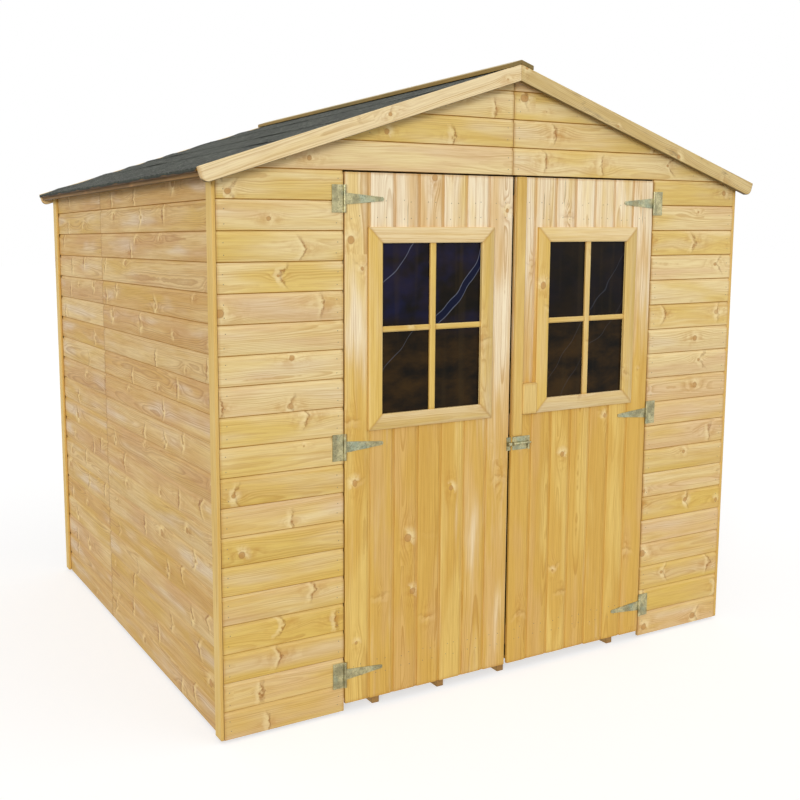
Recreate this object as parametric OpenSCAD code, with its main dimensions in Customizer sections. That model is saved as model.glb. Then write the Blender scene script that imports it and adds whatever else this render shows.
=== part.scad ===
// Wooden garden shed with an apex roof and double doors.
// Millimetres. X runs to the right, Y to the back and Z up. The front is at -Y.
// The origin is on the ground, at the centre of the plan.

/* [Walls] */
// Width over the front wall's cladding
front_w = 2230; // [1700:10:3000]
// Depth over the front and back cladding
shed_d = 1960; // [1500:10:3000]
// Face height of one cladding board
board_h = 95; // [85:1:110]
// Number of boards up to the eaves and the door head
eaves_boards = 19; // [17:1:22]
// Thickness of the cladding
clad_t = 12; // [8:1:20]
// Height of the cladding's bottom edge above the ground
clad_lift = 10; // [4:1:20]
// Distance from the front face to the joint in a side wall
side_joint = 1222; // [600:1:1300]
// Width of a corner strip
strip_w = 50; // [30:1:80]
// Thickness of a corner strip
strip_t = 12; // [8:1:20]

/* [Frame] */
// Face width of a framing timber
frame_w = 44; // [30:1:60]
// Depth of a framing timber behind the cladding
frame_t = 32; // [20:1:50]
// Number of spaces between the studs of a side wall
side_bays = 3; // [2:1:5]
// Height of the ridge beam
ridge_h = 70; // [50:1:120]
// Width of the ridge beam
ridge_w = 28; // [20:1:50]

/* [Floor] */
// Height of a floor bearer
bearer_h = 45; // [35:1:70]
// Width of a floor bearer
bearer_w = 28; // [20:1:60]
// Places for bearers across the width
bearer_places = 9; // [7:1:13]
// The one place, counted from 0 at the left, that has no bearer
empty_place = 5; // [0:1:12]
// Thickness of the floor boards
floor_t = 12; // [9:1:22]

/* [Roof] */
// Slope of the roof in degrees
roof_pitch = 17.6; // [12:0.1:30]
// How far each roof slope reaches past the side wall, measured level
eaves_out = 67; // [40:1:120]
// How far the roof boards reach past the front and back cladding
verge_out = 18; // [8:1:60]
// Thickness of the roof boards
deck_t = 11; // [8:1:22]
// Thickness of the roofing felt
felt_t = 3; // [2:0.5:6]
// How far the felt is turned down at the eaves
felt_drop = 5; // [3:1:40]
// Width of an eaves batten
batten_w = 20; // [12:1:40]
// Height of an eaves batten
batten_h = 16; // [10:1:50]
// Distance from the roof boards' edge back to the batten
batten_back = 12; // [0:1:40]
// Depth of a bargeboard, square to the slope
barge_h = 53; // [35:1:120]
// Thickness of a bargeboard
barge_t = 18; // [12:1:30]
// Radius of the bargeboard's lower outer corner
barge_r = 24; // [5:1:30]
// Width of one ridge cap board, along the slope
cap_w = 55; // [35:1:120]
// Thickness of a ridge cap board
cap_t = 14; // [8:1:25]

/* [Doors] */
// Width of the doorway
doorway_w = 1356; // [1000:1:1650]
// Gap between each door and the doorway's side and head
door_gap = 6; // [5:0.5:10]
// Gap between the two doors
meeting_gap = 14; // [11:0.5:20]
// How far to the right of the shed's middle the doors meet
meeting_shift = 9; // [-30:1:30]
// Height of the doors' bottom edge above the cladding's bottom edge
door_lift = 22; // [12:1:40]
// Thickness of the door boards
door_t = 12; // [8:1:20]
// Width of a door ledge
ledge_w = 75; // [40:1:120]
// Thickness of a door ledge
ledge_t = 20; // [12:1:30]
// Distance from the door's bottom to the lowest ledge
low_ledge = 70; // [40:1:200]
// Distance from the door's top to the highest ledge
top_ledge = 62; // [40:1:120]
// How far a ledge stops short of the hinged edge
ledge_short = 14; // [5:1:60]
// How far a ledge of the left door reaches past its meeting edge
ledge_past = 5; // [0:0.5:6]
// Width of the cover strip on the right door
cover_w = 38; // [25:1:60]
// Thickness of the cover strip
cover_t = 12; // [6:1:18]

/* [Windows] */
// Distance from each door edge to the window frame
window_margin = 84; // [70:1:150]
// How much further the right window stands from the meeting edge
strip_margin = 15; // [0:1:40]
// Height of a window frame
window_h = 668; // [400:1:800]
// Height of a window's middle above the middle of the door
window_rise = 381; // [330:1:420]
// Face width of a window frame's members
window_face = 52; // [30:1:70]
// Thickness of a window frame
window_t = 12; // [8:1:18]
// Thickness of the glazing
glass_t = 3; // [2:0.5:6]
// How far the glazing laps the opening
glass_lap = 10; // [5:1:20]

/* [Door furniture] */
// Height of the pull block
pull_h = 113; // [60:1:160]
// Thickness of the pull block
pull_t = 18; // [10:1:18]
// Width of a hinge plate
plate_w = 45; // [30:1:60]
// Height of a hinge plate
plate_h = 88; // [60:1:120]
// Length of a hinge strap
strap_l = 148; // [100:1:250]
// Height of a hinge strap at the knuckle
strap_h = 38; // [20:1:60]
// Height of a hinge strap at its tip
strap_tip = 13; // [8:1:30]
// Thickness of the hinge metal
hinge_t = 2.5; // [1.5:0.5:4]
// Radius of a hinge knuckle
knuckle_r = 4.5; // [4:0.5:7]
// Radius of a hinge pin
pin_r = 2.5; // [1.5:0.1:3]
// Distance from the door's top to the top hinge
top_hinge = 84; // [60:1:300]
// Distance from the door's bottom to the bottom hinge
low_hinge = 106; // [60:1:300]
// Distance from the window frame's bottom down to the bolt
bolt_drop = 105; // [60:1:300]
// Length of the bolt's plate
bolt_plate_l = 78; // [60:1:120]
// Height of the bolt's plate
bolt_plate_h = 48; // [30:1:60]
// Radius of the bolt
bolt_r = 4; // [3:0.5:5]
// Travel of the bolt
bolt_travel = 26; // [15:1:26]

/* [Hidden] */
$fn = 48;
seat = 0.3;             // gap where one timber rests on another
part_gap = 1;           // gap between like timbers that meet at a corner
moving_gap = 5;         // gap between a moving piece and what it passes
floor_gap = 6;          // from the back of the cladding to the floor
running = 0.07;         // radial clearance of a pin or a bolt in its bore
eps = 1;                // overshoot of a cut

half_w = front_w / 2;
half_d = shed_d / 2;
eaves_z = clad_lift + eaves_boards * board_h;
slope = tan(roof_pitch);
under_z = eaves_z + seat + slope * half_w;      // roof's underside at the ridge
deck_z = under_z + deck_t / cos(roof_pitch);
felt_low_z = deck_z + seat;                     // underside of the felt at the ridge
felt_z = felt_low_z + felt_t / cos(roof_pitch);
roof_half = half_w + eaves_out;
roof_d = half_d + verge_out;                    // half the depth of the roof boards

floor_half_w = half_w - clad_t - floor_gap;
floor_half_d = half_d - clad_t - floor_gap;
floor_z = bearer_h + floor_t;
inner_w = half_w - clad_t;                      // back of the side cladding
inner_d = half_d - clad_t;                      // back of the end cladding
rail_z = floor_z + frame_w;                     // top of the bottom rails
head_z = eaves_z + frame_w;                     // top of the head rails

way_half = doorway_w / 2;
door_far = way_half - door_gap;                  // hinged edge of a door, from the middle
door_bottom = clad_lift + door_lift;
door_top = eaves_z - door_gap;
door_h = door_top - door_bottom;
door_mid = (door_top + door_bottom) / 2;
pane_face = -half_d;                            // front face of the door boards
door_back = pane_face + door_t;

window_far = door_far - window_margin;          // outer edge of a window frame, from the middle
window_z = door_mid + window_rise;
hole_h = window_h - 2 * window_face;
mid_ledge_z = window_z - hole_h / 2 - glass_lap - ledge_w - 40;
ledge_levels = [door_bottom + low_ledge, mid_ledge_z, door_top - top_ledge - ledge_w];

hinge_x = way_half - door_gap / 2;              // hinge line, from the middle
hinge_y = pane_face - knuckle_r - seat;
leaf_y = knuckle_r + seat;                      // from the hinge line back to the door's face
hinge_levels = [door_bottom + low_hinge, door_mid, door_top - top_hinge];
bolt_z = window_z - window_h / 2 - bolt_drop;
bolt_lift = 1.5;                                // from the bolt's plate to the bolt
bolt_y = pane_face - hinge_t - bolt_r - bolt_lift;
bolt_x = near(1) + 4;                           // near end of the bolt's plate
guide_l = 9;                                    // length of a bolt guide
guide_wall = 2.5;                               // metal round a bolt guide's bore
knob_r = bolt_r * 0.8;
knob_x = bolt_x + bolt_plate_l - 2 * bolt_r;    // the knob, with the bolt drawn back
keep_l = 17;                                    // length of the keep
keep_x = near(1) - moving_gap - keep_l;         // far end of the keep
keep_margin = 2;                                // from the keep's ends to its guide

// Height of the roof's underside at x.
function under(x) = under_z - slope * abs(x);

// Distance from the shed's middle to the meeting edge of the right (1) or left (-1) door.
function near(side) = meeting_gap / 2 + side * meeting_shift;

// Inner edge of a door's window frame, from the shed's middle.
function window_near(side) = near(side) + window_margin + (side > 0 ? strip_margin : 0);

// A box from its lowest and highest corners.
module box(low, high) {
    translate(low) cube(high - low);
}

// Stands an outline drawn in X and Z upright, from y0 to y1.
module upright(y0, y1) {
    translate([0, y1, 0]) rotate([90, 0, 0]) linear_extrude(y1 - y0) children();
}

// Draws its children on the right, or mirrored on the left.
module on_side(side) {
    if (side > 0) children();
    else mirror([1, 0, 0]) children();
}

// Draws its children at the front, or mirrored at the back.
module on_end(end) {
    if (end < 0) children();
    else mirror([0, 1, 0]) children();
}

// A layer of the right-hand roof slope, from the ridge to x = reach.
module slope_layer(low_z, high_z, reach) {
    polygon([[0, low_z], [reach, low_z - slope * reach], [reach, high_z - slope * reach], [0, high_z]]);
}

/* Floor */

module floor_bearers() {
    pitch = (2 * floor_half_w - bearer_w) / (bearer_places - 1);
    color("burlywood")
        for (i = [0 : bearer_places - 1])
            if (i != empty_place) {
                x = -floor_half_w + i * pitch;
                box([x, -floor_half_d, 0], [x + bearer_w, floor_half_d, bearer_h]);
            }
}

module floor_boards() {
    color("tan")
        box([-floor_half_w, -floor_half_d, bearer_h], [floor_half_w, floor_half_d, floor_z]);
}

/* Wall frame */

// Bottom and top rails. Those of the ends stop short of those of the sides.
module wall_rails() {
    end_half = inner_w - frame_t - part_gap;
    color("wheat") {
        for (side = [-1, 1]) on_side(side) {
            box([inner_w - frame_t, -inner_d, floor_z], [inner_w, inner_d, rail_z]);
            box([inner_w - frame_t, -inner_d, eaves_z - frame_w], [inner_w, inner_d, eaves_z - seat]);
            box([way_half, -inner_d, floor_z], [end_half, -inner_d + frame_t, rail_z]);
        }
        box([-end_half, inner_d - frame_t, floor_z], [end_half, inner_d, rail_z]);
        for (end = [-1, 1]) on_end(end) head_rail(end_half);
    }
}

// A rail across an end wall at eaves height, with its corners cut to the roof.
module head_rail(reach) {
    upright(-inner_d, -inner_d + frame_t)
        intersection() {
            translate([-reach, eaves_z]) square([2 * reach, frame_w]);
            polygon([[-roof_half, under(roof_half) - seat], [0, under_z - seat],
                     [roof_half, under(roof_half) - seat]]);
        }
}

module wall_studs() {
    side_pitch = (2 * inner_d - frame_w) / side_bays;
    corner_x = inner_w - frame_t - part_gap - frame_w;
    color("wheat") {
        for (side = [-1, 1]) on_side(side) {
            for (i = [0 : side_bays]) {
                y = -inner_d + i * side_pitch;
                box([inner_w - frame_t, y, rail_z], [inner_w, y + frame_w, eaves_z - frame_w]);
            }
            end_stud(way_half);
            end_stud(corner_x);
            on_end(1) end_stud(corner_x);
            on_end(1) end_stud((corner_x - frame_w) / 2);
        }
        on_end(1) end_stud(-frame_w / 2);
    }
}

// A stud of the front wall, with its near face at x.
module end_stud(x) {
    box([x, -inner_d, rail_z], [x + frame_w, -inner_d + frame_t, eaves_z]);
}

// Sloping rails and a king post inside each gable.
module gable_rafters() {
    top = under_z - seat;
    low = top - frame_w / cos(roof_pitch);
    start = ridge_w / 2 + part_gap;
    color("wheat")
        for (end = [-1, 1]) on_end(end) {
            for (side = [-1, 1]) on_side(side)
                upright(-inner_d, -inner_d + frame_t)
                    polygon([[start, low - slope * start], [(low - head_z) / slope, head_z],
                             [(top - head_z) / slope, head_z], [start, top - slope * start]]);
            box([-frame_w / 2, -inner_d, head_z],
                [frame_w / 2, -inner_d + frame_t, under_z - ridge_h]);
        }
}

module ridge_beam() {
    edge = ridge_w / 2;
    color("wheat")
        upright(-inner_d, inner_d)
            polygon([[-edge, under_z - ridge_h], [edge, under_z - ridge_h], [edge, under(edge) - seat],
                     [0, under_z - seat], [-edge, under(edge) - seat]]);
}

/* Cladding */

module front_panel(side) {
    color("sandybrown")
        on_side(side) box([way_half, -half_d, clad_lift], [half_w, -half_d + clad_t, eaves_z]);
}

module front_gable(side) {
    color("sandybrown")
        on_side(side) upright(-half_d, -half_d + clad_t)
            polygon([[0, eaves_z], [half_w, eaves_z], [0, under_z - seat]]);
}

module back_panel(side) {
    color("tan")
        on_side(side) upright(half_d - clad_t, half_d)
            polygon([[0, clad_lift], [half_w, clad_lift], [half_w, eaves_z], [0, under_z - seat]]);
}

module side_panel(side, from_y, to_y) {
    color("tan")
        on_side(side) box([half_w - clad_t, from_y, clad_lift], [half_w, to_y, eaves_z]);
}

module corner_strip(side, end) {
    top = under(half_w + strip_t) - seat;
    color("khaki")
        on_side(side) on_end(end)
            box([half_w, -half_d, clad_lift], [half_w + strip_t, -half_d + strip_w, top]);
}

/* Roof */

module roof_boards(side) {
    color("tan")
        on_side(side) upright(-roof_d, roof_d) slope_layer(under_z, deck_z, roof_half);
}

// The felt lies on the boards and is turned down over their edge.
module roof_felt(side) {
    edge_z = felt_low_z - slope * roof_half;
    color("dimgray")
        on_side(side) upright(-roof_d, roof_d) {
            slope_layer(felt_low_z, felt_z, roof_half + felt_t);
            translate([roof_half, edge_z - felt_drop]) square([felt_t, felt_drop]);
        }
}

module eaves_batten(side) {
    outer = roof_half - batten_back;
    inner = outer - batten_w;
    low_z = under(outer) - batten_h;
    color("wheat")
        on_side(side) upright(-roof_d, roof_d)
            polygon([[inner, low_z], [outer, low_z],
                     [outer, under(outer) - seat], [inner, under(inner) - seat]]);
}

// A bargeboard covers the roof's end, mitred at the ridge and rounded at the eaves.
module bargeboard(side, end) {
    reach = roof_half / cos(roof_pitch);
    color("khaki")
        on_side(side) on_end(end) upright(-roof_d - barge_t, -roof_d)
            intersection() {
                translate([0, felt_z]) rotate(-roof_pitch) {
                    translate([-barge_h, -barge_h + barge_r])
                        square([reach + barge_h, barge_h - barge_r]);
                    translate([-barge_h, -barge_h]) square([reach + barge_h - barge_r, barge_h]);
                    translate([reach - barge_r, -barge_h + barge_r]) circle(barge_r);
                }
                translate([0, 0]) square([2 * roof_half, 2 * felt_z]);
            }
}

module ridge_cap(side) {
    reach = cap_w * cos(roof_pitch);
    rise = cap_t / cos(roof_pitch);
    color("khaki")
        on_side(side) upright(-roof_d - barge_t, roof_d + barge_t)
            slope_layer(felt_z + seat, felt_z + seat + rise, reach);
}

/* Doors, each drawn on the right and then put on its own side */

module door_boards(side) {
    color("goldenrod")
        on_side(side) difference() {
            box([near(side), pane_face, door_bottom], [door_far, door_back, door_top]);
            window_hole(side, glass_lap + seat, pane_face - eps, door_back + eps);
        }
}

// The space inside a window frame, wider by spare on every side.
module window_hole(side, spare, y0, y1) {
    inset = window_face - spare;
    box([window_near(side) + inset, y0, window_z - window_h / 2 + inset],
        [window_far - inset, y1, window_z + window_h / 2 - inset]);
}

// The ledges run from near the hinged edge to x = start.
module door_ledges(side, start) {
    color("wheat")
        on_side(side)
            for (z = ledge_levels)
                box([start, door_back, z], [door_far - ledge_short, door_back + ledge_t, z + ledge_w]);
}

module window_frame(side) {
    color("khaki")
        on_side(side) difference() {
            box([window_near(side), pane_face - window_t, window_z - window_h / 2],
                [window_far, pane_face, window_z + window_h / 2]);
            window_hole(side, 0, pane_face - window_t - eps, pane_face + eps);
        }
}

// The glazing lies in the hole through the door boards, behind the frame.
module window_glass(side) {
    color("darkslategray")
        on_side(side) window_hole(side, glass_lap, pane_face + seat, pane_face + seat + glass_t);
}

module cover_strip() {
    color("khaki")
        box([near(1), pane_face - cover_t, bolt_z + bolt_plate_h / 2 + 4],
            [near(1) + cover_w, pane_face, door_top]);
}

// The pull block fills the space between the cover strip and the window frame.
module pull_block() {
    low_z = window_z - window_h / 2;
    color("khaki")
        box([near(1) + cover_w + seat, pane_face - pull_t, low_z],
            [window_near(1) - seat, pane_face, low_z + pull_h]);
}

/* Door furniture */

// One hinge plate with its pin and its two outer knuckles, on the right of the doorway.
module hinge_plate(z) {
    notch_h = strap_h + 2 * part_gap;
    translate([hinge_x, hinge_y, z]) {
        difference() {
            union() {
                translate([0, leaf_y - hinge_t, -plate_h / 2]) cube([plate_w, hinge_t, plate_h]);
                translate([0, 0, -plate_h / 2]) cylinder(h = plate_h, r = knuckle_r);
            }
            translate([-knuckle_r - eps, -knuckle_r - eps, -notch_h / 2])
                cube([2 * knuckle_r + 2 * eps, 2 * knuckle_r + 3 * eps, notch_h]);
        }
        translate([0, 0, -plate_h / 2]) cylinder(h = plate_h, r = pin_r);
    }
}

module hinge_plates() {
    color("silver")
        for (side = [-1, 1], z = hinge_levels) on_side(side) hinge_plate(z);
}

// One tapered strap with its knuckle. It runs from the hinge line towards the middle.
module hinge_strap(side, z) {
    tip_x = side * (strap_tip / 2 - strap_l);
    translate([side * hinge_x, hinge_y, z])
        difference() {
            union() {
                upright(leaf_y - hinge_t, leaf_y) {
                    polygon([[0, -strap_h / 2], [0, strap_h / 2],
                             [tip_x, strap_tip / 2], [tip_x, -strap_tip / 2]]);
                    translate([tip_x, 0]) circle(strap_tip / 2);
                }
                translate([0, 0, -strap_h / 2]) cylinder(h = strap_h, r = knuckle_r);
            }
            translate([0, 0, -strap_h]) cylinder(h = 2 * strap_h, r = pin_r + running);
        }
}

module hinge_straps(side) {
    color("silver")
        for (z = hinge_levels) hinge_strap(side, z);
}

// A block with a bore along X that a bolt runs through, standing on its door.
module bolt_guide(x, length, bore_r) {
    outer = bore_r + guide_wall;
    difference() {
        union() {
            box([x, bolt_y, bolt_z - outer], [x + length, pane_face, bolt_z + outer]);
            translate([x, bolt_y, bolt_z]) rotate([0, 90, 0]) cylinder(h = length, r = outer);
        }
        translate([x - eps, bolt_y, bolt_z]) rotate([0, 90, 0]) cylinder(h = length + 2 * eps, r = bore_r);
    }
}

// The knob stays clear of the far guide when the bolt is shot.
module bolt_plate() {
    far_guide_x = knob_x - knob_r - bolt_travel - moving_gap - guide_l;
    color("silver") {
        box([bolt_x, pane_face - hinge_t, bolt_z - bolt_plate_h / 2],
            [bolt_x + bolt_plate_l, pane_face, bolt_z + bolt_plate_h / 2]);
        bolt_guide(bolt_x, guide_l, bolt_r + running);
        bolt_guide(far_guide_x, guide_l, bolt_r + running);
    }
}

// The bolt with its knob, drawn back.
module pad_bolt() {
    color("silver")
        translate([0, bolt_y, bolt_z]) {
            translate([bolt_x - 1, 0, 0]) rotate([0, 90, 0]) cylinder(h = bolt_plate_l + 1, r = bolt_r);
            translate([knob_x, 0, -bolt_plate_h / 2]) cylinder(h = bolt_plate_h / 2, r = knob_r);
        }
}

// The keep reaches part of the way over the gap between the doors.
module bolt_keep() {
    color("silver") {
        box([keep_x, pane_face - hinge_t, bolt_z - bolt_plate_h / 2],
            [keep_x + keep_l, pane_face, bolt_z + bolt_plate_h / 2]);
        bolt_guide(keep_x + keep_margin, keep_l - 2 * keep_margin, bolt_r + 1);
    }
}

/* Nodes */

floor_bearers();
floor_boards();
wall_rails();
wall_studs();
gable_rafters();
ridge_beam();
front_panel(-1);  // front_wall_left
front_panel(1);  // front_wall_right
front_gable(-1);  // front_gable_left
front_gable(1);  // front_gable_right
back_panel(-1);  // back_wall_left
back_panel(1);  // back_wall_right
side_panel(-1, -inner_d, side_joint - half_d);  // left_wall_front
side_panel(-1, side_joint - half_d, inner_d);  // left_wall_back
side_panel(1, -inner_d, side_joint - half_d);  // right_wall_front
side_panel(1, side_joint - half_d, inner_d);  // right_wall_back
corner_strip(-1, -1);  // corner_strip_front_left
corner_strip(1, -1);  // corner_strip_front_right
corner_strip(-1, 1);  // corner_strip_back_left
corner_strip(1, 1);  // corner_strip_back_right
roof_boards(-1);  // roof_boards_left
roof_boards(1);  // roof_boards_right
roof_felt(-1);  // roof_felt_left
roof_felt(1);  // roof_felt_right
eaves_batten(-1);  // eaves_batten_left
eaves_batten(1);  // eaves_batten_right
bargeboard(-1, -1);  // bargeboard_front_left
bargeboard(1, -1);  // bargeboard_front_right
bargeboard(-1, 1);  // bargeboard_back_left
bargeboard(1, 1);  // bargeboard_back_right
ridge_cap(-1);  // ridge_cap_left
ridge_cap(1);  // ridge_cap_right
door_boards(-1);  // left_door
door_ledges(-1, near(-1) - ledge_past);  // left_door_ledges
window_frame(-1);  // left_window_frame
window_glass(-1);  // left_window_glass
door_boards(1);  // right_door
door_ledges(1, near(1));  // right_door_ledges
window_frame(1);  // right_window_frame
window_glass(1);  // right_window_glass
cover_strip();
pull_block();
hinge_plates();
hinge_straps(-1);  // left_hinge_straps
hinge_straps(1);  // right_hinge_straps
bolt_plate();
pad_bolt();
bolt_keep();
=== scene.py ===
import math
import random

import bmesh
import bpy
from mathutils import Matrix, Vector


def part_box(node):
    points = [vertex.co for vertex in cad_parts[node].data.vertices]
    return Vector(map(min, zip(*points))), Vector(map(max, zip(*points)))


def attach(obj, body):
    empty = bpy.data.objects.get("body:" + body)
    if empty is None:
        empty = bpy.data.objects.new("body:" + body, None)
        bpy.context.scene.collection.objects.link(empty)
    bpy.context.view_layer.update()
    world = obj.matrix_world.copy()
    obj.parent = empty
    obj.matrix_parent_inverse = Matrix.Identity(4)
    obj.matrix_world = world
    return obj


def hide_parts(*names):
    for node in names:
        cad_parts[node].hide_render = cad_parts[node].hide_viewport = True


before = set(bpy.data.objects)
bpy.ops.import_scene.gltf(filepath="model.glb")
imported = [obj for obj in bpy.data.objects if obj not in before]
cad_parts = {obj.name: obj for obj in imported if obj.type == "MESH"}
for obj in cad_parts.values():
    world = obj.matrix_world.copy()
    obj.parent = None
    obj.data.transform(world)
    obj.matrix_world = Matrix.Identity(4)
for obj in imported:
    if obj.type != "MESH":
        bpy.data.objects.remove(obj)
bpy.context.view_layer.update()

# The wooden garden shed's looks. Metres, X to the right, Y to the back, Z up; the front is at -Y.

BOARD = 0.095
COVE = 0.014
SCOOP = 0.0045
SLOT = 0.0028
GLASS_LAP = 0.010
FIT = 0.0003
DOOR_BOARDS = 7
FELT_COURSES = 4
FELT_PLY = 0.0005
HINGE_METAL = 0.0025
chance = random.Random(11)


# ---------------------------------------------------------------- shader helpers


class Shader:
    """A material under construction, with short names for the nodes it needs."""

    def __init__(self, name):
        self.material = bpy.data.materials.new(name)
        self.material.use_nodes = True
        self.tree = self.material.node_tree
        self.tree.nodes.clear()
        self.output = self.tree.nodes.new("ShaderNodeOutputMaterial")

    def link(self, value, socket):
        if isinstance(value, bpy.types.NodeSocket):
            self.tree.links.new(value, socket)
        elif value is not None:
            socket.default_value = value

    def node(self, kind, **settings):
        made = self.tree.nodes.new("ShaderNode" + kind)
        for key, value in settings.items():
            setattr(made, key, value)
        return made

    def math(self, operation, a, b=None, c=None, clamp=False):
        made = self.node("Math", operation=operation, use_clamp=clamp)
        for value, socket in zip((a, b, c), made.inputs):
            self.link(value, socket)
        return made.outputs[0]

    def attribute(self, name):
        made = self.node("Attribute", attribute_name=name)
        return made.outputs["Vector"]

    def split(self, vector):
        made = self.node("SeparateXYZ")
        self.link(vector, made.inputs[0])
        return made.outputs

    def join(self, x, y, z):
        made = self.node("CombineXYZ")
        for value, socket in zip((x, y, z), made.inputs):
            self.link(value, socket)
        return made.outputs[0]

    def scaled(self, vector, x, y, z):
        made = self.node("VectorMath", operation="MULTIPLY")
        self.link(vector, made.inputs[0])
        made.inputs[1].default_value = (x, y, z)
        return made.outputs[0]

    def noise(self, vector, scale=1.0, detail=2.0, roughness=0.5, distortion=0.0):
        made = self.node("TexNoise")
        self.link(vector, made.inputs["Vector"])
        made.inputs["Scale"].default_value = scale
        made.inputs["Detail"].default_value = detail
        made.inputs["Roughness"].default_value = roughness
        made.inputs["Distortion"].default_value = distortion
        return made.outputs[0]

    def ramp(self, value, low, high, to_low=0.0, to_high=1.0, smooth=True):
        made = self.node("MapRange", interpolation_type="SMOOTHSTEP" if smooth else "LINEAR")
        for item, socket in zip((value, low, high, to_low, to_high), made.inputs):
            self.link(item, socket)
        return made.outputs[0]

    def mix(self, factor, a, b, blend="MIX"):
        made = self.node("Mix", data_type="RGBA", blend_type=blend)
        self.link(factor, made.inputs[0])
        for value, socket in ((a, made.inputs[6]), (b, made.inputs[7])):
            self.link(colour(value) if isinstance(value, tuple) else value, socket)
        return made.outputs[2]

    def bump(self, height, distance, strength=1.0):
        made = self.node("Bump")
        self.link(height, made.inputs["Height"])
        made.inputs["Distance"].default_value = distance
        made.inputs["Strength"].default_value = strength
        return made.outputs[0]

    def finish(self, base, roughness, normal=None, **sockets):
        surface = self.node("BsdfPrincipled")
        self.link(colour(base) if isinstance(base, tuple) else base, surface.inputs["Base Color"])
        self.link(roughness, surface.inputs["Roughness"])
        self.link(normal, surface.inputs["Normal"])
        for key, value in sockets.items():
            surface.inputs[key.replace("_", " ")].default_value = value
        self.tree.links.new(surface.outputs[0], self.output.inputs[0])
        return self.material


def colour(rgb):
    """An 8-bit display colour as the linear colour that a shader socket takes."""
    linear = [c / 12.92 if c <= 0.04045 else ((c + 0.055) / 1.055) ** 2.4 for c in (v / 255 for v in rgb)]
    return (*linear, 1.0)


# ---------------------------------------------------------------- materials


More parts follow.
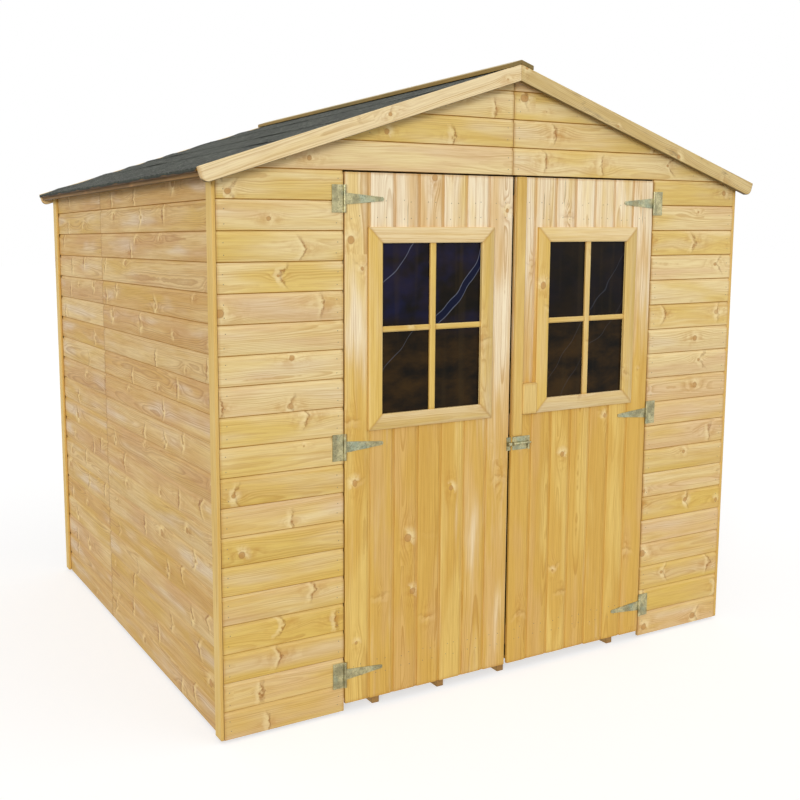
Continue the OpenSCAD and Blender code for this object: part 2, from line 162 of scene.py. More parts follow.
def pine(name, pale, honey, late, yellow=None, tan=None, **look):
    """Sawn pine. Growth rings are drawn round a pith line behind the board, and bend round its knots."""
    contrast, wild, cove = look.get("contrast", 0.42), look.get("wild", 1.0), look.get("cove", 0.0)
    s = Shader(name)
    grain = s.split(s.attribute("grain"))
    face = s.split(s.attribute("face"))
    tones = s.split(s.attribute("tone"))
    level = s.split(s.node("NewGeometry").outputs["Position"])[2]
    knot = knots(s, grain[0], face[0], tones, look.get("clear", 0.2))
    across, radius = growth(s, grain, tones, knot, wild)
    rings = s.math("DIVIDE", radius, s.math("MULTIPLY_ADD", tones[2], 0.0024, 0.0030))
    phase = s.math("FRACT", rings)
    line = s.math("MULTIPLY", s.ramp(phase, 0.25, 0.86), s.ramp(phase, 0.90, 1.0, 1.0, 0.0))
    strong = s.noise(s.join(rings, tones[0], s.math("MULTIPLY", grain[0], 2.0)), 0.5, 1.0)
    line = s.math("MULTIPLY", line, s.ramp(strong, 0.34, 0.68, 0.1, 1.0))

    # Board tone, then streaks and clouds that run with the grain.
    streak = s.noise(s.join(s.math("MULTIPLY", grain[0], 1.1), s.math("MULTIPLY", across, 26.0), tones[0]), 1.6, 3.0)
    cloud = s.noise(s.join(s.math("MULTIPLY", grain[0], 3.2), s.math("MULTIPLY", face[0], 14.0), tones[1]), 1.0, 3.0)
    shade = s.math("ADD", s.math("MULTIPLY", tones[0], 0.50), s.math("MULTIPLY", streak, 1.0))
    shade = s.math("ADD", shade, s.math("MULTIPLY_ADD", cloud, 0.9, -0.72))
    if "lower" in look:
        amount, foot, top = look["lower"]
        shade = s.math("ADD", shade, s.ramp(level, foot, top, amount, -amount))
    base = s.mix(s.ramp(shade, 0.1, 0.9), pale, honey)
    drift = s.noise(s.join(s.math("MULTIPLY", grain[0], 2.0), s.math("MULTIPLY", face[0], 12.0), tones[1]), 1.0, 2.0)
    drift = s.math("MULTIPLY_ADD", s.math("SUBTRACT", tones[1], 0.5), look.get("sorts", 0.30), drift)
    if yellow:
        base = s.mix(s.ramp(drift, 0.50, 0.72, 0.0, 0.75), base, yellow)
    if tan:
        base = s.mix(s.ramp(drift, 0.26, 0.46, 0.75, 0.0), base, tan)
    if "grey" in look:
        patch = s.noise(s.join(s.math("MULTIPLY", grain[0], 2.6), s.math("MULTIPLY", face[0], 11.0), tones[2]), 1.0)
        middle = s.ramp(s.math("ABSOLUTE", s.math("SUBTRACT", face[0], 0.048)), 0.010, 0.040, 1.0, 0.0)
        patch = s.math("MULTIPLY", s.ramp(patch, 0.48, 0.72), middle)
        base = s.mix(s.math("MULTIPLY", patch, look["grey"]), base, (232, 216, 192))
    fibre = s.noise(s.join(s.math("MULTIPLY", grain[0], 9.0), s.math("MULTIPLY", across, 380.0),
                           s.math("MULTIPLY", grain[2], 380.0)), 1.0, 2.0, 0.6)
    base = s.mix(s.ramp(fibre, 0.35, 0.75, 0.0, 0.30), base, late)
    base = s.mix(s.math("MULTIPLY", line, contrast), base, late)
    base = draw_knots(s, base, knot, look.get("flares", 0.6), late, pale)
    if "cracks" in look:
        base = draw_cracks(s, base, face, tones, level)
    # Painted shade for the door coves, stronger higher up the door.
    sunk = s.ramp(level, 1.2, 1.7, cove * 0.5, cove) if cove else None
    base = draw_edges(s, base, face, tones, late, pale, sunk, look.get("sawn", 0.45))
    if "stains" in look:
        patch = s.noise(s.join(s.math("MULTIPLY", grain[0], 7.0), s.math("MULTIPLY", face[0], 30.0), tones[2]), 1.0, 4.0, 0.7)
        base = s.mix(s.ramp(patch, 0.56, 0.70, 0.0, look["stains"]), base, (112, 92, 66))
    facing = s.split(s.node("NewGeometry").outputs["Normal"])[2]
    # Painted shade: faces that point down are darkened towards (88, 68, 26).
    if "under" in look:
        base = s.mix(s.ramp(facing, -0.80, -0.45, look["under"], 0.0), base, (88, 68, 26))
    if "aged" in look:
        worn = s.noise(s.join(s.math("MULTIPLY", grain[0], 3.0), s.math("MULTIPLY", face[0], 60.0), tones[0]), 1.0, 3.0)
        base = s.mix(s.ramp(worn, 0.3, 0.7, 0.35, 0.9), base, look["aged"])
    # Painted highlight: faces that point up are lightened towards (226, 208, 162).
    if "upper" in look:
        base = s.mix(s.ramp(facing, 0.55, 0.85, 0.0, look["upper"]), base, (226, 208, 162))
    height = s.math("MULTIPLY_ADD", line, -0.5, s.math("MULTIPLY", fibre, 0.8))
    rough = s.ramp(fibre, 0.2, 0.8, 0.50, 0.68)
    return s.finish(base, rough, s.bump(height, 0.0006, 0.5), Specular_IOR_Level=0.3)


def knots(s, along, across, tones, clear):
    """The nearest knot: how far off it is along and across the board, its size and its kind."""
    spacing = 0.29
    cell = s.node("TexVoronoi", voronoi_dimensions="1D")
    run = s.math("DIVIDE", along, spacing)
    s.link(run, cell.inputs["W"])
    cell.inputs["Scale"].default_value = 1.0
    pick = s.split(cell.outputs["Color"])
    du = s.math("MULTIPLY", s.math("SUBTRACT", run, cell.outputs["W"]), spacing)
    dv = s.math("SUBTRACT", across, s.math("MULTIPLY_ADD", pick[0], 0.062, 0.016))
    rough = s.math("SUBTRACT", s.noise(s.join(along, across, tones[2]), 110.0, 2.0), 0.5)
    wander = s.math("SUBTRACT", s.noise(s.join(along, across, tones[1]), 34.0, 3.0, 0.6), 0.5)
    skew = s.math("MULTIPLY", du, s.math("MULTIPLY_ADD", pick[2], 0.45, 0.6))
    distance = s.math("SQRT", s.math("ADD", s.math("MULTIPLY", skew, skew), s.math("MULTIPLY", dv, dv)))
    distance = s.math("MULTIPLY_ADD", rough, 0.004, distance)
    size = s.ramp(pick[1], clear, 1.0, 0.0035, 0.0165, smooth=False)
    stretched = s.math("DIVIDE", du, 2.4)
    near = s.math("ADD", s.math("MULTIPLY", stretched, stretched), s.math("MULTIPLY", dv, dv))
    reach = s.math("MULTIPLY_ADD", size, 1.6, 0.008)
    pull = s.math("EXPONENT", s.math("DIVIDE", near, s.math("MULTIPLY", s.math("MULTIPLY", reach, reach), -1.0)))
    present = s.ramp(pick[1], clear - 0.02, clear + 0.02)
    return {"du": du, "dv": dv, "distance": distance, "size": size, "rough": rough, "wander": wander,
            "present": present, "pull": s.math("MULTIPLY", pull, present), "kind": pick[2]}


def growth(s, grain, tones, knot, wild):
    """How far each point lies across from the pith, and its distance from it."""
    u, v, w = grain
    along = s.join(u, s.math("MULTIPLY", tones[1], 9.0), 0.0)
    sway = s.math("MULTIPLY", s.math("SUBTRACT", s.noise(along, 0.9, 1.5), 0.5), 0.060 * wild)
    lift = s.math("MULTIPLY", s.math("SUBTRACT", s.noise(s.scaled(along, 1, 1.7, 1), 1.0, 1.5), 0.5), 0.060 * wild)
    ripple = s.math("MULTIPLY", s.math("SUBTRACT", s.noise(s.join(u, v, tones[1]), 20.0, 2.0), 0.5), 0.0020)
    bend = s.math("MULTIPLY", s.math("MULTIPLY", knot["dv"], knot["pull"]), 0.85)
    across = s.math("SUBTRACT", s.math("ADD", v, sway), bend)
    deep = s.math("MULTIPLY_ADD", knot["pull"], -0.010, s.math("ADD", w, lift))
    radius = s.math("SQRT", s.math("ADD", s.math("MULTIPLY", across, across), s.math("MULTIPLY", deep, deep)))
    return across, s.math("ADD", radius, ripple)


def draw_knots(s, base, knot, flares, late, pale):
    """Round knots with a dark rim and a pale side, or flares that cross the board where a branch was cut along."""
    kind, size, distance = knot["kind"], knot["size"], knot["distance"]
    bright = tuple(min(1.1 * a, b) for a, b in zip(pale, (246, 226, 172)))
    round_knot = s.math("MULTIPLY", s.ramp(kind, 0.40, 0.44), knot["present"])
    flare = s.math("MULTIPLY", s.ramp(kind, 0.66, 0.70, flares, 0.0), knot["present"])
    ragged = s.math("MULTIPLY", knot["pull"], s.ramp(knot["wander"], -0.12, 0.16))
    base = s.mix(s.math("MULTIPLY", ragged, 0.55), base, tuple(0.5 * a + 0.5 * b for a, b in zip(late, (200, 140, 62))))

    slant = s.math("SUBTRACT", s.math("MULTIPLY", kind, 2.4), 0.7)
    offset = s.math("SUBTRACT", knot["du"], s.math("MULTIPLY", s.math("ABSOLUTE", knot["dv"]), slant))
    offset = s.math("MULTIPLY_ADD", knot["wander"], 0.050, offset)
    half = s.math("MULTIPLY_ADD", knot["rough"], 0.03, s.math("ABSOLUTE", knot["dv"]))
    fade = s.ramp(half, 0.014, 0.052, 1.0, 0.0)
    light = s.math("MULTIPLY", s.ramp(s.math("ABSOLUTE", s.math("ADD", offset, 0.010)), 0.001, 0.016, 1.0, 0.0), fade)
    dark = s.math("MULTIPLY", s.ramp(s.math("ABSOLUTE", s.math("SUBTRACT", offset, 0.004)), 0.0, 0.009, 1.0, 0.0), fade)
    dark = s.math("MULTIPLY", dark, s.ramp(knot["rough"], -0.2, 0.1, 0.3, 1.0))
    base = s.mix(s.math("MULTIPLY", s.math("MULTIPLY", light, flare), 0.52), base, bright)
    base = s.mix(s.math("MULTIPLY", s.math("MULTIPLY", dark, flare), 0.90), base, (150, 94, 38))

    halo_out = s.math("MULTIPLY_ADD", size, 2.4, 0.010)
    lean = s.math("MULTIPLY_ADD", knot["dv"], s.math("MULTIPLY_ADD", kind, 6.0, -4.2), knot["du"])
    side = s.ramp(s.math("MULTIPLY_ADD", knot["wander"], 0.10, lean), -0.006, 0.012)
    patchy = s.ramp(knot["rough"], -0.25, 0.05, 0.3, 1.0)
    halo = s.math("MULTIPLY", s.ramp(distance, size, halo_out, 1.0, 0.0), s.math("MULTIPLY", side, patchy))
    base = s.mix(s.math("MULTIPLY", s.math("MULTIPLY", halo, round_knot), 0.62), base, bright)
    core = s.ramp(distance, s.math("MULTIPLY", size, 0.72), size, 1.0, 0.0)
    turn = s.math("SINE", s.math("MULTIPLY", distance, 2400.0))
    heart = s.mix(s.ramp(turn, -1.0, 1.0, 0.0, 0.5), (198, 150, 86), (166, 114, 56))
    rim = s.math("MULTIPLY", s.ramp(distance, s.math("MULTIPLY", size, 0.62), s.math("MULTIPLY", size, 0.85)), core)
    heart = s.mix(s.math("MULTIPLY", rim, 0.6), heart, (124, 78, 34))
    return s.mix(s.math("MULTIPLY", s.math("MULTIPLY", core, round_knot), 0.80), base, heart)


def draw_cracks(s, base, face, tones, level):
    """A thin drying crack near the top of some boards."""
    place = s.math("MULTIPLY_ADD", tones[2], 0.05, 0.025)
    wiggle = s.math("MULTIPLY_ADD", s.noise(s.join(level, tones[1], 0.0), 30.0), 0.004, -0.002)
    apart = s.math("ABSOLUTE", s.math("SUBTRACT", s.math("ADD", face[0], wiggle), place))
    centre = s.math("MULTIPLY_ADD", tones[1], 0.12, 1.66)
    reach = s.ramp(s.math("ABSOLUTE", s.math("SUBTRACT", level, centre)), 0.03, 0.055, 1.0, 0.0)
    split = s.math("MULTIPLY", s.ramp(apart, 0.0003, 0.0016, 1.0, 0.0), reach)
    return s.mix(s.math("MULTIPLY", split, s.ramp(tones[0], 0.74, 0.76, 0.0, 0.8)), base, (70, 44, 22))


def draw_edges(s, base, face, tones, late, pale, cove, sawn):
    """Coves are lightened on the walls as a painted highlight and darkened on the doors as painted shade. Seams and the
    lip's lower edge get painted shade, and sawn ends are darker.
    """
    deep = s.ramp(face[1], 0.0004, 0.0024)
    # On the doors the coves are darkened towards a warm brown: painted shade.
    if cove:
        base = s.mix(s.math("MULTIPLY", deep, cove), base, tuple(0.6 * a + 0.4 * b for a, b in zip(late, (214, 158, 66))))
    else:
        # On the walls the upward-facing coves are lightened towards the pale tone: painted highlight.
        base = s.mix(s.math("MULTIPLY", deep, 0.12), base, pale)
        # Painted shade along the lower edge of each board's lip.
        base = s.mix(s.ramp(face[0], 0.0006, 0.0028, 0.26, 0.0), base, (202, 146, 40))
    start, stop, _ = s.split(s.attribute("ends"))
    off = s.math("MULTIPLY_ADD", s.noise(s.join(face[0], tones[0], 0.0), 60.0), 0.010, s.math("MINIMUM", start, stop))
    base = s.mix(s.ramp(off, 0.004, 0.016, sawn, 0.0), base, late)
    # Painted shade in the slot between boards, in a warm brown.
    seam = s.math("MULTIPLY", s.ramp(face[1], 0.0042, 0.0056, 0.0, 0.92), s.ramp(face[1], 0.0064, 0.0074, 1.0, 0.0))
    return s.mix(seam, base, (178, 122, 12))


def galvanised():
    """Zinc-plated steel with faint coloured clouds, specks and a dull face."""
    s = Shader("galvanised_steel")
    where = s.node("TexCoord").outputs["Object"]
    cloud = s.noise(where, 32.0, 3.0)
    flake = s.node("TexVoronoi")
    s.link(where, flake.inputs["Vector"])
    flake.inputs["Scale"].default_value = 250.0
    base = s.mix(s.ramp(cloud, 0.35, 0.65), (150, 144, 108), (196, 188, 144))
    base = s.mix(s.ramp(s.noise(where, 18.0, 2.0), 0.5, 0.7, 0.0, 0.5), base, (150, 172, 156))
    base = s.mix(s.ramp(s.split(flake.outputs["Color"])[0], 0.4, 1.0, 0.0, 0.42), base, (96, 92, 70))
    rust = s.ramp(s.noise(where, 60.0, 4.0, 0.7), 0.60, 0.74, 0.0, 0.6)
    base = s.mix(rust, base, (146, 112, 68))
    rough = s.ramp(cloud, 0.3, 0.7, 0.34, 0.50)
    grainy = s.noise(s.scaled(where, 1, 1, 6), 240.0, 2.0)
    return s.finish(base, rough, s.bump(grainy, 0.0002, 0.4), Metallic=0.7)


def nail_steel():
    """Small nail heads, dulled."""
    s = Shader("nail_steel")
    spot = s.noise(s.node("TexCoord").outputs["Object"], 300.0, 2.0)
    base = s.mix(s.ramp(spot, 0.3, 0.7), (112, 92, 70), (150, 138, 118))
    return s.finish(base, 0.5, None, Metallic=0.4)


def glazing():
    """Glazing as a dark opaque face, painted shade for the unlit inside, with painted reflections (a blue patch, a
    dark-blue band and a few thin curved light marks) and a brown tone low down.
    """
    s = Shader("glazing")
    where = s.node("TexCoord").outputs["Object"]
    x, _, z = s.split(where)
    wave = s.math("SUBTRACT", s.noise(s.scaled(where, 1.0, 0.0, 1.0), 3.6, 2.0), 0.5)
    bent = s.math("MULTIPLY_ADD", wave, 0.22, s.math("MULTIPLY_ADD", z, -0.85, x))
    blue = s.ramp(s.noise(s.scaled(where, 1.0, 0.0, 1.2), 5.0, 3.0, 0.6), 0.40, 0.62)
    blue = s.math("MULTIPLY", s.math("MULTIPLY", blue, s.ramp(z, 1.25, 1.36)), s.ramp(x, -0.15, 0.10, 1.0, 0.15))
    # Painted shade: the dark base stands for the unlit inside. The blue patch near the top is a painted reflection.
    base = s.mix(blue, (20, 18, 15), (26, 27, 54))
    brown = s.ramp(s.noise(s.scaled(where, 1.0, 0.0, 2.0), 6.0, 4.0, 0.6), 0.30, 0.72)
    base = s.mix(s.math("MULTIPLY", brown, s.ramp(z, 1.34, 1.22, 0.25, 0.95)), base, (60, 43, 20))
    folds = s.noise(s.scaled(where, 26.0, 0.0, 1.2), 1.0, 2.0)
    base = s.mix(s.ramp(folds, 0.52, 0.72, 0.0, 0.25), base, (62, 50, 30))
    # A dark-blue band with light lines along its edges: painted reflections.
    band = s.math("MULTIPLY", s.ramp(bent, -1.440, -1.436), s.ramp(bent, -1.404, -1.400, 1.0, 0.0))
    base = s.mix(s.math("MULTIPLY", band, s.ramp(z, 1.28, 1.34, 0.0, 0.8)), base, (14, 22, 50))
    # Thin curved light lines: painted reflections.
    marks = ((-1.438, 0.34, 1.30, 9), (-1.402, 0.30, 1.30, 9), (-1.770, 0.30, 1.30, 9), (-1.500, 0.14, 0, 1.29),
             (-0.760, 0.07, 0, 9), (-0.640, 0.05, 0, 9))
    for place, strength, lowest, highest in marks:
        apart = s.math("ABSOLUTE", s.math("SUBTRACT", bent, place))
        inside = s.math("MULTIPLY", s.math("GREATER_THAN", z, lowest), s.math("LESS_THAN", z, highest))
        base = s.mix(s.math("MULTIPLY", s.ramp(apart, 0.0008, 0.0030, strength, 0.0), inside), base, (150, 156, 176))
    return s.finish(base, 0.16, None, Specular_IOR_Level=0.06)


def felt():
    """Slate-grey mineral felt: a coarse sparkle of granules, with painted shade here and there just below the lifted
    lap edges.
    """
    s = Shader("mineral_felt")
    where = s.node("TexCoord").outputs["Object"]
    below, mouth, hem = s.split(s.attribute("lap"))
    stone = s.node("TexVoronoi")
    s.link(where, stone.inputs["Vector"])
    stone.inputs["Scale"].default_value = 170.0
    pick = s.split(stone.outputs["Color"])[0]
    clump = s.noise(where, 26.0, 7.0, 0.82)
    base = s.mix(s.ramp(s.math("MULTIPLY_ADD", pick, 0.3, clump), 0.45, 0.85), (15, 17, 14), (118, 121, 110))
    base = s.mix(s.ramp(pick, 0.86, 0.96, 0.0, 0.7), base, (142, 147, 134))
    base = s.mix(s.ramp(s.noise(where, 5.0, 3.0), 0.35, 0.7, 0.0, 0.30), base, (38, 42, 36))
    x, y, _ = s.split(where)
    wash = s.noise(s.join(s.math("MULTIPLY", x, 4.0), s.math("MULTIPLY", y, 62.0), 0.0), 1.0, 3.0, 0.8)
    base = s.mix(s.ramp(wash, 0.42, 0.62, 0.0, 0.60), base, (26, 29, 25))
    base = s.mix(s.math("MULTIPLY", hem, 0.8), base, (66, 69, 62))
    # Painted shade: dark just below a lap where the course above is lifted.
    gap = s.math("MULTIPLY", s.ramp(below, 0.003, 0.010, 1.0, 0.0), s.ramp(mouth, 0.0006, 0.0014))
    base = s.mix(s.math("MULTIPLY", gap, 0.9), base, (12, 12, 12))
    height = s.math("ADD", pick, s.math("MULTIPLY", s.noise(where, 30.0, 2.0), 1.2))
    return s.finish(base, 0.88, s.bump(height, 0.0014, 0.9), Specular_IOR_Level=0.2)


def make_materials():
    return {
        "front": pine("pine_front", (240, 218, 162), (223, 188, 110), (184, 132, 56), (225, 192, 96),
                      (227, 194, 148), sorts=0.36, flares=0.9, grey=0.35, lower=(0.36, 0.15, 1.35), clear=0.25),
        "side": pine("pine_side", (230, 202, 144), (210, 168, 98), (162, 110, 52), (214, 176, 88),
                     (208, 166, 112), flares=1.0, grey=0.6, contrast=0.46),
        # cove= paints shade into the coves of the door boards.
        "door": pine("pine_door", (250, 235, 202), (218, 177, 88), (180, 126, 44), (234, 203, 118), (220, 180, 112),
                     flares=0.3, lower=(0.48, 0.85, 1.60), wild=0.8, cove=0.5, cracks=True, contrast=0.56,
                     clear=0.52),
        "trim": pine("pine_trim", (236, 213, 164), (226, 192, 104), (188, 138, 58), contrast=0.42, flares=0.4,
                     wild=0.5, clear=0.60),
        # under= paints shade on the downward faces of the bargeboards and the batten.
        "barge": pine("pine_barge", (244, 224, 178), (232, 204, 142), (182, 134, 64), contrast=0.56, flares=0.3,
                      wild=0.7, clear=0.35, under=0.85),
        "worn_barge": pine("pine_barge_worn", (230, 208, 154), (212, 184, 120), (156, 118, 62), contrast=0.52,
                           flares=0.3, wild=0.7, clear=0.30, stains=0.55, under=0.85),
        # The batten's colours are darker than the frame's, as painted shade under the eaves.
        "batten": pine("pine_batten", (150, 112, 56), (110, 80, 34), (74, 52, 20), under=0.85),
        "deck": pine("pine_deck", (174, 138, 80), (146, 110, 56), (72, 50, 22), sawn=0.95),
        "strip": pine("pine_strip", (232, 202, 130), (218, 180, 94), (186, 138, 58), contrast=0.36, flares=0.3,
                      wild=0.5, clear=0.7),
        "frame": pine("pine_frame", (200, 164, 104), (176, 134, 72), (128, 86, 38)),
        "inside": pine("pine_boards", (174, 138, 80), (146, 110, 56), (98, 70, 32)),
        # upper= paints a highlight on the ridge cap's upward faces.
        "cap": pine("pine_ridge_cap", (176, 150, 92), (150, 118, 62), (104, 78, 40), aged=(122, 104, 56), upper=0.7),
        "metal": galvanised(),
        "nail": nail_steel(),
        "glass": glazing(),
        "felt": felt(),
    }


# ---------------------------------------------------------------- timber


class Lumber:
    """Gathers timbers into one mesh. Each vertex keeps its place in its own board, which the grain follows."""

    def __init__(self):
        self.points = []
        self.faces = []
        self.grain = []
        self.face = []
        self.ends = []
        self.tone = []

    def add(self, points, faces, places, ends, mood=None, sunk=True):
        """Adds one board. places holds (along, across, depth) for each point, and ends how far each end is."""
        mood = mood or board_mood()
        start = len(self.points)
        self.points += points
        self.faces += [[start + i for i in face] for face in faces]
        shift, pith_v, pith_w = mood["shift"]
        self.grain += [(u + shift, v - pith_v, w - pith_w) for u, v, w in places]
        self.face += [(v, w if sunk else 0.0, u) for u, v, w in places]
        self.ends += ends
        self.tone += [mood["tone"]] * len(points)

    def board(self, outline, low, high, put, mood=None):
        """A board with the cross-section outline. low and high give its ends for each (across, depth)."""
        count = len(outline)
        places = [(low(v, w), v, w) for v, w in outline] + [(high(v, w), v, w) for v, w in outline]
        sides = [[i, (i + 1) % count, count + (i + 1) % count, count + i] for i in range(count)]
        faces = sides + [list(range(count))[::-1], list(range(count, 2 * count))]
        ends = [(u - low(v, w), high(v, w) - u, 0.0) for u, v, w in places]
        self.add([put(*p) for p in places], faces, places, ends, mood)

    def build(self, name, material, body, nodes, bevel=0.0):
        mesh = bpy.data.meshes.new(name)
        mesh.from_pydata(self.points, [], self.faces)
        for key, values in (("grain", self.grain), ("face", self.face), ("ends", self.ends), ("tone", self.tone)):
            held = mesh.attributes.new(key, "FLOAT_VECTOR", "POINT")
            held.data.foreach_set("vector", [c for value in values for c in value])
        tidy(mesh)
        return show(name, mesh, material, body, nodes, bevel)


def board_mood(warmth=None):
    """Random grain for one board: a shift along the trunk, the pith's place and three tones."""
    middle = chance.uniform(0.01, 0.09)
    shift = (chance.uniform(0, 80), middle, chance.uniform(0.016, 0.06))
    tone = [chance.random(), chance.random(), chance.random()]
    if warmth is not None:
        tone[0] = warmth
    return {"shift": shift, "tone": tuple(tone)}


def tidy(mesh):
    """Turns all faces outwards."""
    work = bmesh.new()
    work.from_mesh(mesh)
    bmesh.ops.recalc_face_normals(work, faces=work.faces)
    work.to_mesh(mesh)
    work.free()


def show(name, mesh, material, body, nodes, bevel=0.0):
    """Makes the object, smooths its curves but not its corners, and hands it to the frame."""
    piece = bpy.data.objects.new(name, mesh)
    bpy.context.scene.collection.objects.link(piece)
    mesh.materials.append(material)
    if bevel:
        edge = piece.modifiers.new("worn_edges", "BEVEL")
        edge.width = bevel
        edge.segments = 2
        edge.limit_method = "ANGLE"
        edge.angle_limit = math.radians(40)
        edge.harden_normals = False
    mesh.polygons.foreach_set("use_smooth", [True] * len(mesh.polygons))
    mesh.set_sharp_from_angle(angle=math.radians(32))
    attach(piece, body)
    if nodes:
        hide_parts(*nodes)
    return piece


def shiplap(face, thick, gap=SLOT, scoop=SCOOP):
    """Cross-section of a shiplap board, as (across, depth): a lip below and a cove above."""
    top = face - gap
    cove = []
    for step in range(7):
        angle = math.radians(12 + 78 * step / 6)
        cove.append((top - (COVE - gap) * math.cos(angle), scoop * math.sin(angle)))
    lip = [(0.0012, thick), (0.0, thick - 0.0012), (0.0, 0.0012), (0.0004, 0.0004), (0.0012, 0.0)]
    slot = [(top, scoop + 0.0015), (face, scoop + 0.0015), (face, thick - 0.0012), (face - 0.0012, thick)]
    return lip + [(cove[0][0] - 0.0006, 0.0)] + cove + slot


def clipped(outline, edge, keep_low):
    """The part of an outline on one side of a line across it."""
    kept = []
    for (v0, w0), (v1, w1) in zip(outline, outline[1:] + outline[:1]):
        inside0, inside1 = (v0 <= edge) == keep_low, (v1 <= edge) == keep_low
        if inside0:
            kept.append((v0, w0))
        if inside0 != inside1:
            share = (edge - v0) / (v1 - v0)
            kept.append((edge, w0 + share * (w1 - w0)))
    return kept


def turned(kind, origin, face_at):
    """Gives the function that puts (along, across, depth) in the frame, for each facing."""
    if kind == "front":
        return lambda u, v, w: (u, face_at + w, origin + v)
    if kind == "back":
        return lambda u, v, w: (u, face_at - w, origin + v)
    if kind == "left":
        return lambda u, v, w: (face_at + w, u, origin + v)
    if kind == "right":
        return lambda u, v, w: (face_at - w, u, origin + v)
    if kind == "door":
        return lambda u, v, w: (origin + v, face_at + w, u)
    raise ValueError(kind)


# ---------------------------------------------------------------- walls


def clad(mats, name, node, facing, material, slope_cut=None):
    """Shiplap boards in place of a cladding slab. slope_cut(z) gives how far a board reaches at height z."""
    low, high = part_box(node)
    thick = high.y - low.y if facing in ("front", "back") else high.x - low.x
    face_at = {"front": low.y, "back": high.y, "left": low.x, "right": high.x}[facing]
    ends = (low.x, high.x) if facing in ("front", "back") else (low.y, high.y)
    lumber = Lumber()
    nails = []
    count = math.ceil((high.z - low.z) / BOARD - 0.02)
    for index in range(count):
        base = low.z + index * BOARD
        outline = shiplap(BOARD, thick)
        if base + BOARD > high.z + 1e-5:
            outline = clipped(outline, high.z - base - 1e-5, True)
        sunk = chance.uniform(0.0, 0.0005)
        outline = [(v, max(w, sunk)) for v, w in outline]
        gap = chance.uniform(0.0002, 0.0010) + (0.0010 if "gable" in node else 0.0)

        def near(v, w, base=base, gap=gap):
            return max(ends[0] + gap, -slope_cut(base + v)) if slope_cut and ends[0] < 0 else ends[0] + gap

        def far(v, w, base=base, gap=gap):
            return min(ends[1] - gap, slope_cut(base + v)) if slope_cut and ends[1] > 0 else ends[1] - gap

        put = turned(facing, base, face_at)
        lumber.board(outline, near, far, put)
        start, stop = near(BOARD * 0.7, 0.0), far(BOARD * 0.7, 0.0)
        if stop - start > 0.15 and base + BOARD * 0.8 < high.z:
            for u in (start + 0.022, stop - 0.022):
                for v in (0.024, 0.062):
                    nails.append(put(u + chance.uniform(-0.004, 0.004), v + chance.uniform(-0.006, 0.006), 0.0))
    outward = Vector(turned(facing, 0.0, 0.0)(0.0, 0.0, -1.0))
    heads(f"{name}_nails", nails, outward, 0.0016, 0.0003, mats["nail"], "shed")
    return lumber.build(name, mats[material], "shed", [node])


def build_walls(mats):
    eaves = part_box("front_wall_right")[1].z
    gable_low, gable_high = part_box("front_gable_right")
    rise = (gable_high.z - eaves) / (gable_high.x - gable_low.x)

    def cut(z):
        return gable_high.x + 1 if z <= eaves else max((gable_high.z - z) / rise, 0.0)

    for side in ("left", "right"):
        clad(mats, f"front_boards_{side}", f"front_wall_{side}", "front", "front")
        clad(mats, f"gable_boards_{side}", f"front_gable_{side}", "front", "front", cut)
        clad(mats, f"back_boards_{side}", f"back_wall_{side}", "back", "side", cut)
        for part in ("front", "back"):
            clad(mats, f"{side}_boards_{part}", f"{side}_wall_{part}", side, "side")


# ---------------------------------------------------------------- timbers that keep their CAD shape


def loose_parts(mesh):
    """The separate solids of a mesh, each as its points and faces, with flat areas as single faces."""
    work = bmesh.new()
    work.from_mesh(mesh)
    bmesh.ops.remove_doubles(work, verts=work.verts, dist=1e-6)
    bmesh.ops.dissolve_limit(work, angle_limit=math.radians(1), verts=work.verts, edges=work.edges)
    parts, seen = [], set()
    for first in work.verts:
        if first in seen:
            continue
        group, waiting = [], [first]
        seen.add(first)
        while waiting:
            vert = waiting.pop()
            group.append(vert)
            for edge in vert.link_edges:
                other = edge.other_vert(vert)
                if other not in seen:
                    seen.add(other)
                    waiting.append(other)
        number = {vert: i for i, vert in enumerate(group)}
        faces = {face for vert in group for face in vert.link_faces}
        ordered = sorted(faces, key=lambda face: face.index)
        parts.append(([tuple(v.co) for v in group], [[number[v] for v in f.verts] for f in ordered]))
    work.free()
    return parts


def lengthways(points):
    """The direction of the longest edge-to-edge run of a timber, and two directions square to it."""
    best = Vector((1, 0, 0))
    reach = 0.0
    for i, a in enumerate(points):
        for b in points[i + 1:]:
            run = Vector(b) - Vector(a)
            if run.length > reach:
                reach, best = run.length, run
    spans = [max(p[i] for p in points) - min(p[i] for p in points) for i in range(3)]
    longest = spans.index(max(spans))
    others = [i for i in range(3) if i != longest]
    direction = Vector((0, 0, 0))
    direction[longest] = 1.0
    slim = min(others, key=lambda i: spans[i])
    wide = max(others, key=lambda i: spans[i])
    if abs(best.normalized()[wide]) > 0.2 and spans[wide] > 0.15:
        direction[wide] = best.normalized()[wide] / max(abs(best.normalized()[longest]), 1e-6)
        direction[wide] *= 1 if best[longest] > 0 else -1
        direction.normalize()
    depth = Vector((0, 0, 0))
    depth[slim] = 1.0
    return direction, direction.cross(depth).normalized(), depth


def carve(name, nodes, material, body, bevel=0.0015, shift=0.0):
    """Timbers with their CAD shape, edges eased, and grain along each one."""
    lumber = Lumber()
    for node in nodes:
        for points, faces in loose_parts(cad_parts[node].data):
            along, across, depth = lengthways(points)
            start = Vector(points[0])
            places = [tuple((Vector(p) - start).dot(d) for d in (along, across, depth)) for p in points]
            low = [min(p[i] for p in places) for i in range(3)]
            places = [tuple(p[i] - low[i] for i in range(3)) for p in places]
            long = max(p[0] for p in places)
            lumber.add(points, faces, places, [(u, long - u, 0.0) for u, v, w in places], sunk=False)
    return lumber.build(name, material, body, nodes, bevel)


